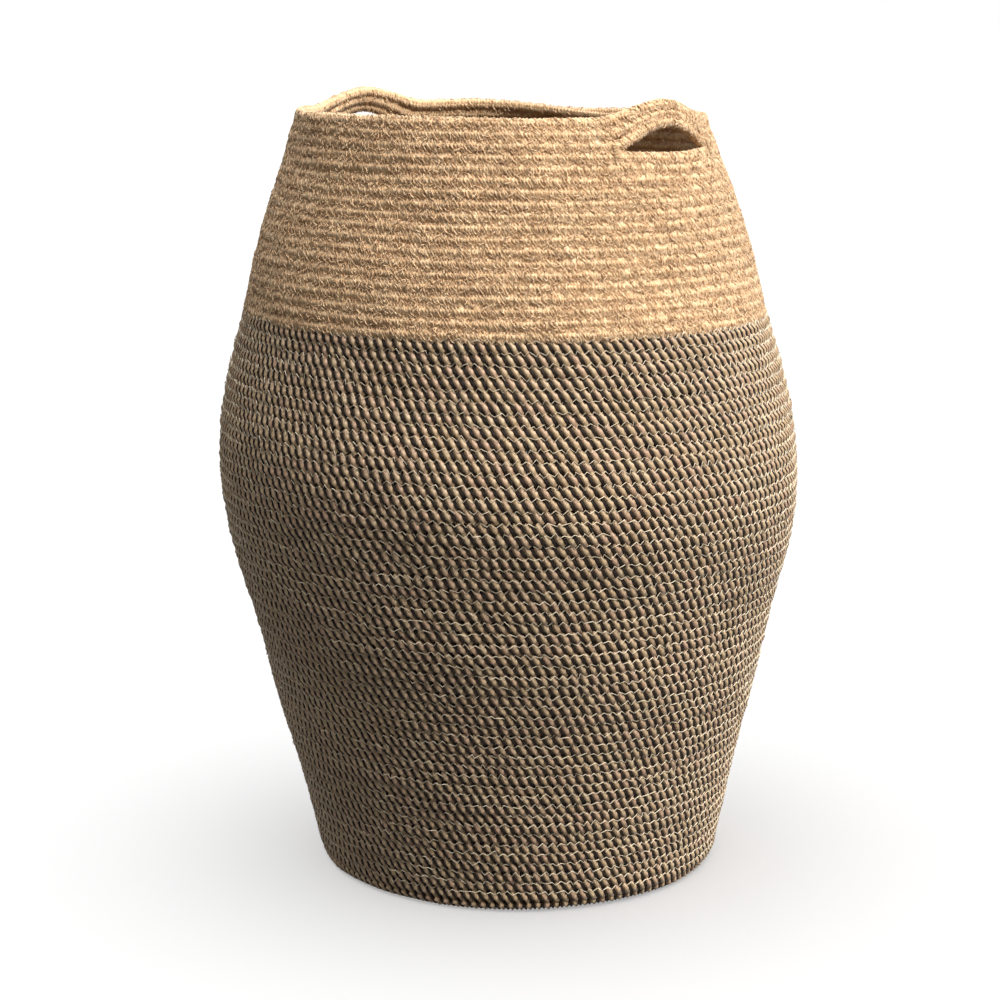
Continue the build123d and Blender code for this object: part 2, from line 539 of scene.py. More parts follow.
class Sheet(Nodes):
    """The nodes of one new material."""

    def __init__(self, name: str) -> None:
        """Start a material with its shader and its output."""
        self.material = bpy.data.materials.new(name)
        super().__init__(self.material)
        self.shader = self.tree.nodes["Principled BSDF"]

    def set(self, **values) -> None:
        """Set or link the shader's own sockets, named with _ for a space."""
        for key, value in values.items():
            socket = self.shader.inputs[key.replace("_", " ")]
            if isinstance(value, bpy.types.NodeSocket):
                self.tree.links.new(value, socket)
            else:
                socket.default_value = value

    def strand_map(self) -> tuple[bpy.types.NodeSocket, bpy.types.NodeSocket]:
        """Return the strand's own map: how far along it, and how far round it."""
        lay = self.add("ShaderNodeUVMap", uv_map=STRAND_MAP).outputs[0]
        split = self.add("ShaderNodeSeparateXYZ", {0: lay})
        return split.outputs[0], split.outputs[1]

    def place(self) -> bpy.types.NodeSocket:
        """Return the place on the basket."""
        return self.add("ShaderNodeTexCoord").outputs["Object"]

    def point(self, *values) -> bpy.types.NodeSocket:
        """Return a vector made of up to three values."""
        return self.add("ShaderNodeCombineXYZ", dict(enumerate(values))).outputs[0]

    def math(self, operation: str, *values) -> bpy.types.NodeSocket:
        """Return the result of a sum on values or sockets."""
        return self.add("ShaderNodeMath", dict(enumerate(values)), operation=operation).outputs[0]

    def weigh(self, *shares: tuple) -> bpy.types.NodeSocket:
        """Return the total of some values, each paired with its weight."""
        total, *others = [self.math("MULTIPLY", value, weight) for value, weight in shares]
        for other in others:
            total = self.math("ADD", total, other)
        return total

    def blend(self, share, first, second) -> bpy.types.NodeSocket:
        """Return two colours blended by a share."""
        return self.add("ShaderNodeMix", {0: share, 6: first, 7: second},
                        data_type="RGBA").outputs[2]

    def ramp(self, value, stops: tuple[tuple[float, tuple], ...]) -> bpy.types.NodeSocket:
        """Return a colour ramp's colour at a value."""
        node = self.add("ShaderNodeValToRGB", {0: value})
        stop = node.color_ramp.elements
        while len(stop) < len(stops):
            stop.new(0.5)
        for element, (place, colour) in zip(stop, stops):
            element.position, element.color = place, colour
        return node.outputs[0]

    def noise(self, vector, scale: float, detail: float = 2.0, rough: float = 0.5
              ) -> bpy.types.NodeSocket:
        """Return smooth noise from 0 to 1."""
        return self.add("ShaderNodeTexNoise", {"Vector": vector, "Scale": scale, "Detail": detail,
                                               "Roughness": rough}).outputs[0]

    def dress(self, colour, rough, relief, strength: float, depth: float, **coat
              ) -> bpy.types.Material:
        """Finish the surface.

        Args:
            colour: The base colour.
            rough: The roughness.
            relief: The height of the small relief.
            strength: The relief's strength.
            depth: The relief's depth.
            coat: Other values of the shader.

        Returns:
            The material.
        """
        bump = self.add("ShaderNodeBump", {"Strength": strength, "Distance": depth,
                                           "Height": relief})
        self.set(Base_Color=colour, Roughness=rough, Normal=bump.outputs[0], **coat)
        return self.material


@dataclass(frozen=True)
class StrandFinish:
    """Twisted strand: a tint for each turn of the twist, fine yarn streaks with painted shade in
    their hollows, and a soft shine.
    """
    name: str
    tints: tuple[tuple[float, tuple], ...]
    shade: tuple
    # how far the tint darkens in the streaks' hollows: painted shade
    streak_shade: float
    roughness: float
    sheen: float
    gloss: float
    patch: float
    seed: float
    patch_scale: float = 34.0        # patches of tint on the whole basket
    streak_length: float = 1.6
    streak_count: float = 16.0
    streak_twist: float = -5.0
    fleck_scale: float = 900.0
    fleck_share: float = 0.35
    relief: float = 0.5 * MM

    def material(self) -> bpy.types.Material:
        """Build the material.

        Returns:
            A material that reads the strand's own map and Object coordinates.
        """
        sheet = Sheet(self.name)
        along, around = sheet.strand_map()
        place = sheet.place()
        segment = sheet.math("FLOOR", along)
        pick = sheet.add("ShaderNodeTexWhiteNoise",
                         {"W": sheet.math("ADD", segment, self.seed)},
                         noise_dimensions="1D").outputs[0]
        patches = sheet.rescale(sheet.noise(place, self.patch_scale), 0.3, 0.7)
        tint = sheet.ramp(sheet.weigh((pick, 1 - self.patch), (patches, self.patch)), self.tints)
        ply = sheet.point(sheet.math("MULTIPLY", along, self.streak_length),
                          sheet.weigh((around, self.streak_count), (along, self.streak_twist)),
                          segment)
        streaks = sheet.noise(ply, 1.0, 3.0, 0.6)
        # Painted shade: the tint darkens towards the shade colour where the streaks' relief is
        # low.
        hollow = sheet.math("SUBTRACT", 1.0, sheet.rescale(streaks, 0.34, 0.62))
        tint_with_shade = sheet.blend(sheet.math("MULTIPLY", hollow, self.streak_shade), tint, self.shade)
        fleck = sheet.rescale(sheet.noise(place, self.fleck_scale, 1.0), 0.62, 0.75,
                              last=self.fleck_share)
        rough = sheet.rescale(streaks, 0.3, 0.7, self.roughness + 0.12, self.roughness - 0.08)
        return sheet.dress(sheet.blend(fleck, tint_with_shade, self.shade), rough, streaks, 0.5, self.relief,
                           Sheen_Weight=self.sheen, Sheen_Roughness=0.5,
                           Specular_IOR_Level=self.gloss)


@dataclass(frozen=True)
class JuteFinish:
    """Jute yarn: matt, hairy and uneven; darker in the hollows of its relief, which is painted
    shade, and in random coarse patches of tone.
    """
    name: str = "jute_yarn"
    light: tuple = srgb(240, 212, 170)
    middle: tuple = srgb(224, 188, 144)
    dark: tuple = srgb(202, 161, 116)
    deep_shade: tuple = srgb(162, 118, 80)
    coarse_scale: float = 55.0
    fine_scale: float = 420.0
    streak_length: float = 4.0
    streak_count: float = 9.0        # and as much twist
    relief: float = 0.5 * MM

    def material(self) -> bpy.types.Material:
        """Build the material.

        Returns:
            A material that reads the yarn's own map and Object coordinates.
        """
        sheet = Sheet(self.name)
        along, around = sheet.strand_map()
        place = sheet.place()
        coarse = sheet.noise(place, self.coarse_scale, 3.0, 0.6)
        fine = sheet.noise(place, self.fine_scale, 3.0, 0.65)
        ply = sheet.point(sheet.math("MULTIPLY", along, self.streak_length),
                          sheet.weigh((around, self.streak_count), (along, self.streak_count)))
        streaks = sheet.noise(ply, 1.0, 4.0, 0.65)
        # The colour follows the streaks and fine noise of the relief, so it is darker in the
        # relief's hollows: painted shade; the coarse noise adds random patches of tone.
        colour = sheet.ramp(sheet.weigh((fine, 0.44), (streaks, 0.40), (coarse, 0.16)),
                            ((0.36, self.deep_shade), (0.44, self.dark), (0.51, self.middle),
                             (0.60, self.light)))
        rough = sheet.rescale(streaks, 0.3, 0.7, 0.95, 0.78)
        return sheet.dress(colour, rough, sheet.math("ADD", streaks, fine), 0.5, self.relief,
                           Sheen_Weight=0.25, Sheen_Roughness=0.6, Specular_IOR_Level=0.3)


@dataclass(frozen=True)
class ThreadFinish:
    """Sewing thread: pale and a little shiny, with its own fine twist."""
    name: str = "sewing_thread"
    light: tuple = srgb(250, 238, 212)
    dull: tuple = srgb(222, 198, 160)
    twist_count: float = 8.0
    patch_scale: float = 90.0
    relief: float = 0.1 * MM

    def material(self) -> bpy.types.Material:
        """Build the material.

        Returns:
            A material that reads the thread's own map and Object coordinates.
        """
        sheet = Sheet(self.name)
        along, around = sheet.strand_map()
        ply = sheet.point(sheet.math("MULTIPLY", along, self.twist_count), around)
        twist = sheet.add("ShaderNodeTexWave", {"Vector": ply, "Scale": 1.0, "Distortion": 0.6}
                          ).outputs["Fac"]
        colour = sheet.blend(sheet.noise(sheet.place(), self.patch_scale), self.dull, self.light)
        return sheet.dress(colour, sheet.rescale(twist, first=0.62, last=0.5), twist, 0.4,
                           self.relief, Sheen_Weight=0.2, Sheen_Roughness=0.4)


TAN_STRAND = StrandFinish(
    name="tan_strand",
    tints=((0.0, srgb(178, 148, 112)), (0.25, srgb(192, 162, 124)), (0.45, srgb(202, 174, 136)),
           (0.6, srgb(192, 156, 126)), (0.8, srgb(208, 182, 144)), (1.0, srgb(174, 148, 114))),
    shade=srgb(128, 98, 70), streak_shade=0.32, roughness=0.42, sheen=0.08,
    gloss=0.55, patch=0.45, seed=3.5)
DARK_STRAND = StrandFinish(
    name="dark_strand",
    tints=((0.0, srgb(28, 21, 17)), (0.35, srgb(38, 28, 22)), (0.6, srgb(32, 26, 21)),
           (0.8, srgb(50, 37, 28)), (1.0, srgb(40, 33, 26))),
    shade=srgb(22, 16, 12), streak_shade=0.5, roughness=0.6, sheen=0.0,
    gloss=0.2, patch=0.4, seed=91.5)
# The core's dark brown stands for the shade in the gaps between the strands: painted shade.
SHADE_CORE = StrandFinish(
    name="core_painted_shade",
    tints=((0.0, srgb(58, 42, 30)), (0.5, srgb(74, 54, 38)), (1.0, srgb(50, 36, 26))),
    shade=srgb(34, 24, 18), streak_shade=0.5, roughness=0.9, sheen=0.0, gloss=0.1, patch=0.5,
    seed=17.5)


# ---------------------------------------------------------------- rope

@dataclass(frozen=True)
class Twist:
    """Where each lead of a rope's twist falls along the rope.

    The numbers of leads and the lengths of rope go up together.
    """
    leads: np.ndarray
    lengths: np.ndarray
    slip: Wander

    def length_of(self, leads: np.ndarray) -> np.ndarray:
        """Return the rope's length at some leads, with the twist's small slips."""
        lengths = np.interp(leads, self.leads, self.lengths)
        return lengths + self.slip.at(lengths)

    def lead_at(self, length: float) -> int:
        """Return the lead nearest to a length of rope."""
        return round(float(np.interp(length, self.lengths, self.leads)))


def square_off(out: np.ndarray, up: np.ndarray, power: float) -> np.ndarray:
    """Return how far a round section grows to press square against its neighbours.

    Args:
        out: Distances outwards.
        up: Distances up the wall.
        power: 2 keeps it round, and more makes it squarer.

    Returns:
        The growth of each point's distance from the middle.
    """
    far = np.maximum(np.hypot(out, up), 1e-9)
    return (np.abs(out / far) ** power + np.abs(up / far) ** power) ** (-1 / power)


@dataclass(frozen=True)
class Strand:
    """One strand of a twisted rope, modelled over one lead and repeated.

    The strand is modelled straight, along X, with Y outwards and Z up the wall.
    """
    radius: float
    off_centre: float
    lead: float
    sides: int = 5
    steps: int = 6
    flatten: float = 1.0        # how far the rope is pressed in, out of the wall
    widen: float = 1.0          # how far it spreads, up the wall
    squareness: float = 2.0
    slant: float = 0.0          # how far the strand leans along the rope as it crosses the face
    roughen: float = 0.0        # how uneven the strand is

    def model_lead(self, start: float) -> bpy.types.Object:
        """Model one lead: a ring drawn out along the rope and turned about it step by step.

        Args:
            start: The strand's angle about the rope at its beginning; 0 is outwards.

        Returns:
            An open tube, one lead long.
        """
        slope = math.atan2(FULL_TURN * self.off_centre, self.lead)
        piece = start_ring(self.sides, self.radius, (0, self.off_centre, 0),
                           math.pi / 2 - slope)
        self._turn(start)
        for _ in range(self.steps):
            bpy.ops.mesh.extrude_edges_move(
                TRANSFORM_OT_translate={"value": (self.lead / self.steps, 0, 0)})
            self._turn(FULL_TURN / self.steps)
        bpy.ops.object.mode_set(mode="OBJECT")
        return piece

    @staticmethod
    def _turn(angle: float) -> None:
        """Turn what is selected about the rope; with no window the operator turns backwards."""
        if angle:
            bpy.ops.transform.rotate(value=-angle, orient_axis="X", center_override=(0, 0, 0))

    def map_strand(self, piece: bpy.types.Object, start: float, first: int) -> None:
        """Give the strand its map: leads along it, and once round it.

        Args:
            piece: The straight strand.
            start: Its angle about the rope at its beginning.
            first: The number of its first lead.
        """
        points = read_points(piece)
        angle = start + FULL_TURN * points[:, 0] / self.lead
        out = points[:, 1] - self.off_centre * np.cos(angle)
        up = points[:, 2] - self.off_centre * np.sin(angle)
        around = np.arctan2(up, out) - angle
        corners = read_corners(piece)
        quads = ((around[corners] / FULL_TURN) % 1.0).reshape(-1, 4)
        quads[np.ptp(quads, axis=1) > 0.5] %= 1.0      # a corner rounded up to 1 counts as 0
        wrapped = np.ptp(quads, axis=1) > 0.5          # faces where the map starts again
        quads[wrapped] = np.where(quads[wrapped] < 0.5, quads[wrapped] + 1, quads[wrapped])
        write_map(piece.data.uv_layers.new(name=STRAND_MAP),
                  points[corners, 0] / self.lead + first, quads.ravel())

    def make(self, line: WallLine, first: int, count: int, start: float,
             twist: Twist) -> bpy.types.Object:
        """Make the strand over some leads and lay it along the coil.

        Args:
            line: The coil.
            first: The first lead's number, from the rope's start.
            count: The number of leads.
            start: The strand's angle about the rope at a lead's beginning.
            twist: Where each lead falls along the rope.

        Returns:
            The laid strand, open at its two ends.
        """
        piece = self.model_lead(start)
        repeat_piece(piece, self.lead, count)
        self.map_strand(piece, start, first)
        points = read_points(piece)
        points[:, 0] = twist.length_of(points[:, 0] / self.lead + first)
        if self.roughen:
            rng = np.random.default_rng(first + int(100 * start))
            points += rng.normal(0, self.roughen, points.shape)
        growth = square_off(points[:, 1], points[:, 2], self.squareness)
        points[:, 1] *= self.flatten * growth
        points[:, 2] *= self.widen * growth
        face = np.clip(points[:, 1] / (self.off_centre + self.radius), -1, 1)
        points[:, 0] += self.slant * points[:, 2] * face
        write_points(piece, line.lay(points))
        return piece


@dataclass
class TwoToneRope:
    """The two-colour rope of the floor and lower wall: a tan and a dark strand laid together.

    On the wall each turn holds a whole number of leads and a part, so that the tan strand of one
    turn runs on into the tan strand of the next.
    """
    line: WallLine
    lead: float = 8.8 * MM
    tan_radius: float = 2.7 * MM
    tan_off_centre: float = 2.5 * MM
    dark_radius: float = 2.35 * MM
    dark_off_centre: float = 2.55 * MM
    squareness: float = 4.2
    slant: float = 0.36
    step_back: float = 0.4       # the part of a lead each turn starts after the turn below
    floor_lead: float = 9.4 * MM
    heel_lead: float = 7.7 * MM
    belly_lead: float = 8.7 * MM
    matched_turns: float = 5.0
    inside: float = math.pi      # a lead begins where its strand is on the inside of the wall

    def __post_init__(self) -> None:
        """Set out the leads, and the two strands."""
        self.twist = self.set_out_leads()
        self.tan = Strand(self.tan_radius, self.tan_off_centre, self.lead, flatten=0.92,
                          widen=1.2, squareness=self.squareness, slant=self.slant,
                          roughen=0.14 * MM)
        self.dark = Strand(self.dark_radius, self.dark_off_centre, self.lead, sides=4,
                           flatten=0.93, widen=1.04, squareness=self.squareness, slant=self.slant)

    def set_out_leads(self) -> Twist:
        """Set out where each lead falls.

        Returns:
            The rope's twist, from the middle of the floor to the change of colour.
        """
        line = self.line
        turn = (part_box("base_spiral")[1].x - line.half_rope) / line.pitch
        floor_length = line.length_at(turn)
        floor_leads = round(floor_length / self.floor_lead)
        leads, lengths = [-1.0, 0.0, float(floor_leads)], [-self.floor_lead, 0.0, floor_length]
        narrow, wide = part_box("heel_turns")[1].x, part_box("belly_wall")[1].x
        while turn < line.change_turn + 1:
            radius = float(np.interp((turn + self.matched_turns / 2) * line.pitch,
                                     line.meridian, line.radii))
            lead = np.interp(radius, [narrow, wide], [self.heel_lead, self.belly_lead])
            each = round(FULL_TURN * radius / lead) + self.step_back
            for _ in range(int(self.matched_turns * each)):
                turn += 1 / each
                leads.append(leads[-1] + 1)
                lengths.append(line.length_at(turn))
        slip = Wander(line.total, 70 * MM, 0.13 * self.lead, 21)
        return Twist(np.array(leads), np.array(lengths), slip)

    def bands(self) -> list[tuple[str, int, int]]:
        """Share the rope among the CAD nodes.

        Returns:
            For each node its name, its first lead and its number of leads.
        """
        edges = [self.line.first_turn,
                 (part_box("base_spiral")[1].x - self.line.half_rope) / self.line.pitch]
        nodes = ("base_spiral", "heel_turns", "lower_wall", "middle_wall", "belly_wall",
                 "shoulder_wall")
        edges += [self.line.turn_at_height(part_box(name)[1].z) for name in nodes[1:-1]]
        edges.append(self.line.change_turn)
        leads = [self.twist.lead_at(self.line.length_at(turn)) for turn in edges]
        leads[-1] += 1          # runs a little into the jute, so that no gap shows
        return [(name, leads[k], leads[k + 1] - leads[k]) for k, name in enumerate(nodes)]

    def build(self) -> None:
        """Make and dress both strands of every band."""
        tan_finish, dark_finish = TAN_STRAND.material(), DARK_STRAND.material()
        for node, first, count in self.bands():
            for strand, colour, start, finish in (
                    (self.tan, "tan", self.inside, tan_finish),
                    (self.dark, "dark", 0.0, dark_finish)):
                piece = strand.make(self.line, first, count, start, self.twist)
                finish_strands([piece], f"{node}_{colour}", strand.sides, finish,
                               (node,))


@dataclass
class JuteRope:
    """The natural rope of the upper wall, the rim and the handles: six hairy jute yarns."""
    line: WallLine
    lead: float = 15.6 * MM
    yarns: int = 6
    yarns_in_piece: int = 2            # on the long wall, so that no piece is too heavy
    yarn_radius: float = 1.95 * MM
    off_centre: float = 2.6 * MM
    squareness: float = 4.5
    fibre_length: float = 7.0 * MM
    fibre_width: float = 0.42 * MM
    fibres_per_metre: int = 1450
    fibre_sunk: float = 0.12 * MM
    fibre_bend: float = 1.6 * MM
    with_yarn: float = 0.68            # the share of hairs that lie along the yarns
    yarn_slant: tuple = (52, 16)       # their slant and its spread, in degrees
    cross_slant: tuple = (-48, 22)     # and that of the others
    inside_share: float = 0.2          # the share of hairs on the inside of the wall
    inside_spread: float = 0.5
    outside_reach: float = 1.25        # how far round the outside hairs lie

    def __post_init__(self) -> None:
        """Set out the leads, and the yarn."""
        count = int(self.line.total / self.lead) + 2
        leads = np.arange(-1.0, count)
        slip = Wander(self.line.total, 26 * MM, 0.16 * self.lead, 31)
        self.twist = Twist(leads, leads * self.lead, slip)
        self.yarn = Strand(self.yarn_radius, self.off_centre, self.lead, sides=4, flatten=0.95,
                           widen=1.34, squareness=self.squareness, roughen=0.15 * MM)

    def stretches(self) -> dict[str, list[tuple[int, int]]]:
        """Share the rope among the CAD nodes.

        Returns:
            For each node, the first lead and number of leads of each stretch.
        """
        line = self.line
        reach = math.asin(line.arch_half_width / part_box("rim_front")[1].x)
        open_turn = line.last_turn - line.right_slot_opens + reach / FULL_TURN
        edges, names = [line.change_turn, open_turn], ["jute_wall"]
        order = ("rim_back", "handle_right", "rim_front", "handle_left")
        wide = (0.5 * math.pi - reach) * 2 / FULL_TURN
        narrow = 2 * reach / FULL_TURN
        turn, k = open_turn, 0
        while turn < line.last_turn - 0.02:
            turn = min(turn + (wide if k % 2 == 0 else narrow), line.last_turn)
            edges.append(turn)
            names.append(order[k % 4])
            k += 1
        leads = [self.twist.lead_at(line.length_at(t)) for t in edges]
        leads[0] = int(line.length_at(line.change_turn) / self.lead)
        found: dict[str, list[tuple[int, int]]] = {}
        for k, name in enumerate(names):
            if leads[k + 1] > leads[k]:
                found.setdefault(name, []).append((leads[k], leads[k + 1] - leads[k]))
        return found

    def model_fibre(self) -> bpy.types.Object:
        """Model one short hair of jute: a slim three-sided spindle along X.

        Returns:
            The spindle, at the origin.
        """
        start_clean()
        bpy.ops.mesh.primitive_cone_add(vertices=3, radius1=self.fibre_width, radius2=0,
                                        depth=self.fibre_length, end_fill_type="TRIFAN")
        piece = bpy.context.object
        points = read_points(piece)
        points[np.hypot(points[:, 0], points[:, 1]) > 0.5 * self.fibre_width, 2] = 0
        write_points(piece, points[:, [2, 0, 1]])
        return piece

    def scatter_fibres(self, stretches: list[tuple[int, int]], seed: int) -> bpy.types.Object:
        """Lay short hairs over the rope, most of them along the yarns and some across.

        Args:
            stretches: The first lead and number of leads of each stretch.
            seed: Which scatter it is.

        Returns:
            The laid hairs.
        """
        rng = np.random.default_rng(seed)
        starts = []
        for first, leads in stretches:
            number = int(leads * self.lead * self.fibres_per_metre)
            starts.append(rng.uniform(first + 0.2, first + leads - 0.2, number) * self.lead)
        place = np.concatenate(starts)
        count = len(place)
        piece = self.model_fibre()
        repeat_piece(piece, 0, count, merge=False)
        local = read_points(piece).reshape(count, -1, 3)
        size = rng.uniform(0.55, 1.35, (count, 1))
        along, high = local[:, :, 0] * size, local[:, :, 2]
        across = local[:, :, 1] * rng.uniform(0.7, 1.3, (count, 1))
        across = across + (along / self.fibre_length) ** 2 * rng.normal(0, self.fibre_bend,
                                                                        (count, 1))
        slant = np.radians(np.where(rng.random(count) < self.with_yarn,
                                    rng.normal(*self.yarn_slant, count),
                                    rng.normal(*self.cross_slant, count)))[:, None]
        inside = rng.random(count) < self.inside_share
        middle = np.where(inside, math.pi + rng.normal(0, self.inside_spread, count),
                          rng.uniform(-self.outside_reach, self.outside_reach, count))[:, None]
        radius = self.off_centre + self.yarn_radius - self.fibre_sunk
        forward = along * np.cos(slant) - across * np.sin(slant)
        turned = along * np.sin(slant) + across * np.cos(slant)
        angle = middle + turned / radius
        out, up = np.cos(angle), np.sin(angle)
        growth = (radius + high + rng.uniform(-0.2, 0.25, (count, 1)) * MM) * square_off(
            out.ravel(), up.ravel(), self.squareness).reshape(out.shape)
        points = np.stack([place[:, None] + forward, out * growth * self.yarn.flatten,
                           up * growth * self.yarn.widen], axis=2).reshape(-1, 3)
        write_points(piece, self.line.lay(points))
        corners = read_corners(piece)
        pick = np.repeat(rng.uniform(0, 500, count), local.shape[1])[corners]
        layer = piece.data.uv_layers[0]
        layer.name = STRAND_MAP
        run = local[:, :, 0].ravel()[corners] / self.fibre_length
        write_map(layer, pick + run, pick * 0.1)
        return piece

    def build(self) -> None:
        """Make and dress the yarns and hairs of every stretch."""
        finish = JuteFinish().material()
        for order, (node, stretches) in enumerate(self.stretches().items()):
            each = self.yarns_in_piece if node == "jute_wall" else self.yarns
            groups = [range(k, k + each) for k in range(0, self.yarns, each)]
            for number, group in enumerate(groups):
                parts = [self.yarn.make(self.line, first, count,
                                        math.pi + FULL_TURN * k / self.yarns, self.twist)
                         for first, count in stretches for k in group]
                name = node + "_yarns" + (f"_{number + 1}" if len(groups) > 1 else "")
                nodes = (node, "rope_tail") if node == "rim_back" else (node,)
                finish_strands(parts, name, self.yarn.sides, finish, nodes)
            hairs = self.scatter_fibres(stretches, 300 + order)
            hairs.name = hairs.data.name = node + "_fibres"
            pick_up(hairs)
            bpy.ops.object.shade_smooth()
            hairs.data.materials.append(finish)
            add_to_frame(hairs, (node,))


@dataclass
class RopeCore:
    """The filler cord in the middle of the rope, pressed flat between its neighbours; it closes
    the gaps between the strands, and its dark brown there is painted shade.
    """
    line: WallLine
    step: float = 20.0 * MM
    half_out: float = 1.6 * MM
    half_up: float = 5.0 * MM
    sides: int = 6

    def build(self) -> None:
        """Lay the core of the two-colour rope."""
        line = self.line
        start, stop = line.length_at(line.first_turn + 1), line.length_at(line.change_turn)
        piece = start_ring(self.sides, 1.0, (0, 0, 0), math.pi / 2)
        bpy.ops.transform.resize(value=(1, self.half_out, self.half_up))
        bpy.ops.mesh.extrude_edges_move(TRANSFORM_OT_translate={"value": (self.step, 0, 0)})
        bpy.ops.object.mode_set(mode="OBJECT")
        repeat_piece(piece, self.step, int((stop - start) / self.step))
        points = read_points(piece)
        points[:, 0] += start
        write_points(piece, line.lay(points))
        finish_strands([piece], "two_tone_rope_core", self.sides, SHADE_CORE.material())


@dataclass
class SeamStitch:
    """The zigzag sewing that holds each turn of rope to the next."""
    line: WallLine
    period: float = 7.4 * MM
    thread_radius: float = 0.36 * MM
    half_width: float = 1.6 * MM
    proud: float = 3.6 * MM
    jute_proud: float = 3.5 * MM       # the thread sinks into the softer jute
    sides: int = 3
    loose: tuple = (0.9 * MM, 0.6 * MM, 0.6 * MM)   # unevenness along, outwards and up
    top_seam: float = 1.17             # turns from the rope's end to the last seam

    def model_stitch(self, proud: float) -> bpy.types.Object:
        """Model one zig and one zag, straight, over the seam above the rope.

        Args:
            proud: How far the thread is from the middle of the rope.

        Returns:
            An open tube, one period long.
        """
        seam = self.line.pitch / 2
        piece = start_ring(self.sides, self.thread_radius, (0, proud, seam - self.half_width),
                           math.pi / 2)
        for way in (1, -1):
            bpy.ops.mesh.extrude_edges_move(TRANSFORM_OT_translate={
                "value": (self.period / 2, 0, way * 2 * self.half_width)})
        bpy.ops.object.mode_set(mode="OBJECT")
        return piece

    def lay(self, first: float, last: float, proud: float) -> bpy.types.Object:
        """Sew from one turn to another.

        Args:
            first: The turn to start at.
            last: The turn to stop at.
            proud: How far the thread is from the middle of the rope.

        Returns:
            The laid thread.
        """
        start, stop = self.line.length_at(first), self.line.length_at(last)
        count = max(1, int((stop - start) / self.period))
        piece = self.model_stitch(proud)
        repeat_piece(piece, self.period, count)
        points = read_points(piece)
        along = points[read_corners(piece), 0] / self.period
        write_map(piece.data.uv_layers.new(name=STRAND_MAP), along, np.zeros_like(along))
        stitch = np.round(points[:, 0] / (self.period / 2)).astype(int)
        rng = np.random.default_rng(int(first * 10) + 41)
        loose = rng.normal(0, 1, (3, stitch.max() + 1))
        points[:, 0] += start
        for way, size in enumerate(self.loose):
            points[:, way] += size * loose[way][stitch]
        write_points(piece, self.line.lay(points, ends_inside=False))
        return piece

    def build(self) -> None:
        """Sew the wall's seams from its first turn up to the last seam under the rim, but not over
        the two hand slots.
        """
        line = self.line
        cotton = ThreadFinish().material()
        jute = ThreadFinish("jute_thread", JuteFinish.middle, JuteFinish.dark).material()
        reach = line.slot_half_width / (FULL_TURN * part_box("rim_front")[1].x)
        right, left = line.turns_below_slots()
        edges = [line.turn_at_height(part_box(node)[1].z)
                 for node in ("base_spiral", "lower_wall", "middle_wall", "belly_wall")]
        runs = {"seam_thread_lower": [(edges[0], edges[1])],
                "seam_thread_middle": [(edges[1], edges[2])],
                "seam_thread_belly": [(edges[2], edges[3])],
                "seam_thread_shoulder": [(edges[3], line.change_turn)],
                "seam_thread_jute": [(line.change_turn, right - reach),
                                     (right + reach, left - reach),
                                     (left + reach, line.last_turn - self.top_seam)]}
        for name, stretches in runs.items():
            on_jute = name == "seam_thread_jute"
            proud = self.jute_proud if on_jute else self.proud
            threads = [self.lay(first, stop, proud) for first, stop in stretches]
            finish_strands(threads, name, self.sides, jute if on_jute else cotton)


@dataclass
class SlotTacks:
    """The four pads of back-and-forth sewing that hold the corners of the hand slots."""
    line: WallLine
    passes: int = 9
    width: float = 4.6 * MM
    height: float = 11.0 * MM
    gap: float = 3.6 * MM              # from the slot's corner to the middle of the pad
    thread_radius: float = 0.55 * MM
    proud: float = 4.75 * MM
    sides: int = 5
    overhang: float = 0.3 * MM         # how far the thread runs past the pad where it turns
    sunk: float = 0.5 * MM             # and how deep it goes into the rope there

    def model_pad(self) -> bpy.types.Object:
        """Model one pad flat: a thread that runs to and fro over the seam.

        Returns:
            A closed tube, centred on the seam above the rope.
        """
        rise = self.height / self.passes
        piece = start_ring(self.sides, self.thread_radius,
                           (-self.width / 2, self.proud,
                            self.line.pitch / 2 - self.height / 2), math.pi / 2, fill="NGON")
        for number in range(self.passes):
            way = 1 if number % 2 == 0 else -1
            for along, out, share in ((way * self.width, 0, 0.2),
                                      (way * self.overhang, -self.sunk, 0.5),
                                      (-way * self.overhang, self.sunk, 0.3)):
                bpy.ops.mesh.extrude_region_move(TRANSFORM_OT_translate={
                    "value": (along, out, share * rise)})
        bpy.ops.object.mode_set(mode="OBJECT")
        points = read_points(piece)[read_corners(piece)]
        write_map(piece.data.uv_layers.new(name=STRAND_MAP), points[:, 0] / self.width,
                  points[:, 2] / self.width)
        return piece

    def build(self) -> None:
        """Sew the four pads."""
        line = self.line
        reach = (line.slot_half_width + self.gap) / (FULL_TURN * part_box("rim_front")[1].x)
        pads = []
        for below in line.turns_below_slots():
            for way in (-1, 1):
                piece = self.model_pad()
                points = read_points(piece)
                points[:, 0] += line.length_at(below + way * reach)
                write_points(piece, line.lay(points, ends_inside=False))
                pads.append(piece)
        finish = ThreadFinish("tack_thread", srgb(214, 180, 134), srgb(184, 148, 104))
        finish_strands(pads, "slot_corner_tacks", self.sides, finish.material(),
                       ("handle_tacks",))


# ---------------------------------------------------------------- the studio

@dataclass(frozen=True)
class SoftLight:
    """A broad, soft light from far away."""
    name: str
    toward: tuple          # the direction that it comes from
    spread: float          # how wide it looks from the basket, in degrees
    strength: float        # in watts for each square metre

    def add(self) -> bpy.types.Object:
        """Add the light and return it."""
        light = bpy.data.lights.new(self.name, "SUN")
        light.energy, light.angle = self.strength, math.radians(self.spread)
        lamp = bpy.data.objects.new(self.name, light)
        lamp.rotation_euler = Vector(self.toward).to_track_quat("Z", "Y").to_euler()
        bpy.context.scene.collection.objects.link(lamp)
        return lamp


